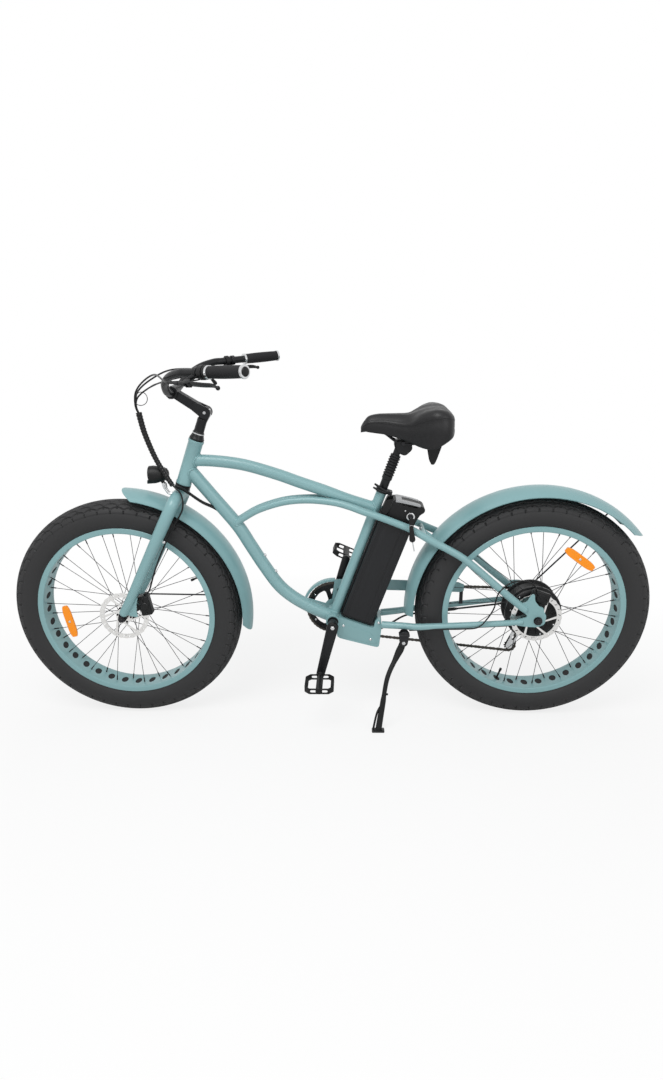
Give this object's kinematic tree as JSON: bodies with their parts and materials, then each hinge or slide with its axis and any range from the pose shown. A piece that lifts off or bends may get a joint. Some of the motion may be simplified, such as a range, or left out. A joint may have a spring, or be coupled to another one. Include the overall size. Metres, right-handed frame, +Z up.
{
  "type": "electric beach cruiser bicycle",
  "caption": "Electric beach cruiser with fat tyres, a swept bar, a battery behind the seat tube and a hub motor, standing on its kickstand.",
  "frame": {"origin": "middle of the underside of the bounding box, on the ground the bicycle stands on", "axes": "+X towards the front wheel, +Z up, +Y to the rider's left; the bicycle leans 8 degrees to its left onto the kickstand"},
  "size_m": [2.054, 0.7312, 1.2098],
  "materials": {
    "paint": "satin",
    "black": "satin",
    "plastic": "satin",
    "rubber": "matte",
    "tyre": "matte",
    "steel": "brushed",
    "alloy": "satin",
    "rim": "satin",
    "dark_steel": "dark",
    "reflector": "gloss",
    "vinyl": "satin"
  },
  "bodies": {
    "frame": {"head_tube": "paint", "top_tube": "paint", "down_tube": "paint", "seat_tube": "paint", "arch_stay_left": "paint", "arch_stay_right": "paint", "chainstay_left": "paint", "chainstay_right": "paint", "stay_bridge": "paint", "controller_case": "rim", "battery_dock": "plastic", "seat_clamp": "alloy", "rear_fender": "paint", "chain_guard": "rim", "rear_axle": "dark_steel", "rear_brake_caliper": "alloy", "rear_derailleur": "steel", "chain": "dark_steel", "kickstand_bracket": "black", "main_cables": "rubber", "motor_cable": "rubber"},
    "fork": {"fork": "paint", "front_fender": "paint", "front_brake_caliper": "alloy", "stem_riser": "alloy", "cable_harness": "rubber"},
    "bars": {"stem_arm": "alloy", "handlebar": "alloy", "grip_left": "rubber", "grip_right": "rubber", "control_left": "plastic", "control_right": "plastic"},
    "brake_lever_left": {"brake_lever_left": "alloy"},
    "brake_lever_right": {"brake_lever_right": "alloy"},
    "throttle_lever": {"throttle_lever": "plastic"},
    "shift_lever": {"shift_lever": "plastic"},
    "headlight": {"headlight": "plastic"},
    "front_wheel": {"front_tyre": "tyre", "front_rim": "rim", "front_hub": "alloy", "front_rotor": "steel", "front_reflector": "reflector"},
    "rear_wheel": {"rear_tyre": "tyre", "rear_rim": "rim", "hub_motor": "alloy", "rear_rotor": "steel", "rear_reflector": "reflector"},
    "freewheel": {"freewheel": "steel"},
    "crank": {"crank_left": "alloy", "crank_right": "alloy"},
    "pedal_left": {"pedal_left": "plastic"},
    "pedal_right": {"pedal_right": "plastic"},
    "seatpost": {"seatpost": "alloy", "seat_boot": "rubber"},
    "seat": {"saddle_frame": "alloy", "saddle": "vinyl"},
    "seat_lever": {"seat_lever": "alloy"},
    "battery": {"battery": "plastic"},
    "battery_key": {"battery_key": "steel"},
    "kickstand": {"kickstand": "alloy"}
  },
  "joints": [
    {"name": "steering", "type": "hinge", "parent": "frame", "child": "fork", "pos_m": [0.4406, -0.04998, 0.78668], "axis": [-0.3516, 0.1303, 0.927], "range_deg": [-60, 60], "deforming": ["main_cables"]},
    {"name": "stem_tilt", "type": "hinge", "parent": "fork", "child": "bars", "pos_m": [0.356, -0.01962, 1.00265], "axis": [0, 0.9903, -0.1392], "range_deg": [-30, 25], "deforming": ["cable_harness"]},
    {"name": "brake_pull_left", "type": "hinge", "parent": "bars", "child": "brake_lever_left", "pos_m": [0.32919, 0.27142, 1.07224], "axis": [0.4139, 0.6391, 0.6483], "range_deg": [0, 12], "stiffness_Nm_per_rad": 0.8, "springref_deg": -20.05},
    {"name": "brake_pull_right", "type": "hinge", "parent": "bars", "child": "brake_lever_right", "pos_m": [0.32919, -0.28021, 1.14977], "axis": [-0.4139, 0.4356, -0.7993], "range_deg": [0, 12], "stiffness_Nm_per_rad": 0.8, "springref_deg": -20.05},
    {"name": "throttle_turn", "type": "hinge", "parent": "bars", "child": "throttle_lever", "pos_m": [0.28353, 0.27446, 1.0984], "axis": [0.8238, -0.566, 0.032], "range_deg": [0, 40], "stiffness_Nm_per_rad": 0.2, "springref_deg": -28.65},
    {"name": "shift_push", "type": "hinge", "parent": "bars", "child": "shift_lever", "pos_m": [0.31568, -0.24741, 1.14179], "axis": [0.0388, 0.1654, 0.9855], "range_deg": [0, 25], "stiffness_Nm_per_rad": 0.2, "springref_deg": -22.92},
    {"name": "headlight_tilt", "type": "hinge", "parent": "fork", "child": "headlight", "pos_m": [0.501, -0.05024, 0.78479], "axis": [0, 0.9903, -0.1392], "range_deg": [-15, 20]},
    {"name": "front_wheel_spin", "type": "hinge", "parent": "fork", "child": "front_wheel", "pos_m": [0.655, -0.10863, 0.36938], "axis": [0, 0.9903, -0.1392], "continuous": true},
    {"name": "rear_wheel_spin", "type": "hinge", "parent": "frame", "child": "rear_wheel", "pos_m": [-0.655, -0.10863, 0.36938], "axis": [0, 0.9903, -0.1392], "continuous": true},
    {"name": "crank_spin", "type": "hinge", "parent": "frame", "child": "crank", "pos_m": [-0.017, -0.11245, 0.34214], "axis": [0, 0.9903, -0.1392], "continuous": true},
    {"name": "freewheel_spin", "type": "hinge", "parent": "frame", "child": "freewheel", "pos_m": [-0.655, -0.10863, 0.36938], "axis": [0, 0.9903, -0.1392], "continuous": true},
    {"name": "pedal_spin_left", "type": "hinge", "parent": "crank", "child": "pedal_left", "pos_m": [0.02461, -0.13568, 0.17688], "axis": [0, 0.9903, -0.1392], "continuous": true},
    {"name": "pedal_spin_right", "type": "hinge", "parent": "crank", "child": "pedal_right", "pos_m": [-0.05861, -0.08923, 0.50741], "axis": [0, 0.9903, -0.1392], "continuous": true},
    {"name": "seatpost_height", "type": "slide", "parent": "frame", "child": "seatpost", "axis": [-0.3457, 0.1306, 0.9292], "range_m": [-0.03, 0.08]},
    {"name": "seat_suspension", "type": "slide", "parent": "seatpost", "child": "seat", "axis": [-0.3457, 0.1306, 0.9292], "range_m": [-0.03, 0], "stiffness_N_per_m": 9000, "springref_m": 0.004, "deforming": ["seat_boot"]},
    {"name": "seat_lever_open", "type": "hinge", "parent": "frame", "child": "seat_lever", "pos_m": [-0.19693, -0.03801, 0.75329], "axis": [-0.3457, 0.1306, 0.9292], "range_deg": [0, 90]},
    {"name": "battery_lift", "type": "slide", "parent": "frame", "child": "battery", "axis": [-0.3457, 0.1306, 0.9292], "range_m": [0, 0.05]},
    {"name": "battery_key_turn", "type": "hinge", "parent": "battery", "child": "battery_key", "pos_m": [-0.25901, -0.06395, 0.68728], "axis": [0, -0.9903, 0.1392], "range_deg": [0, 90]},
    {"name": "kickstand_fold", "type": "hinge", "parent": "frame", "child": "kickstand", "pos_m": [-0.242, -0.04259, 0.2788], "axis": [0, 0.9903, -0.1392], "range_deg": [0, 100]}
  ],
  "couplings": [
    {"joint": "freewheel_spin", "follows": "crank_spin", "ratio": 2.2}
  ]
}
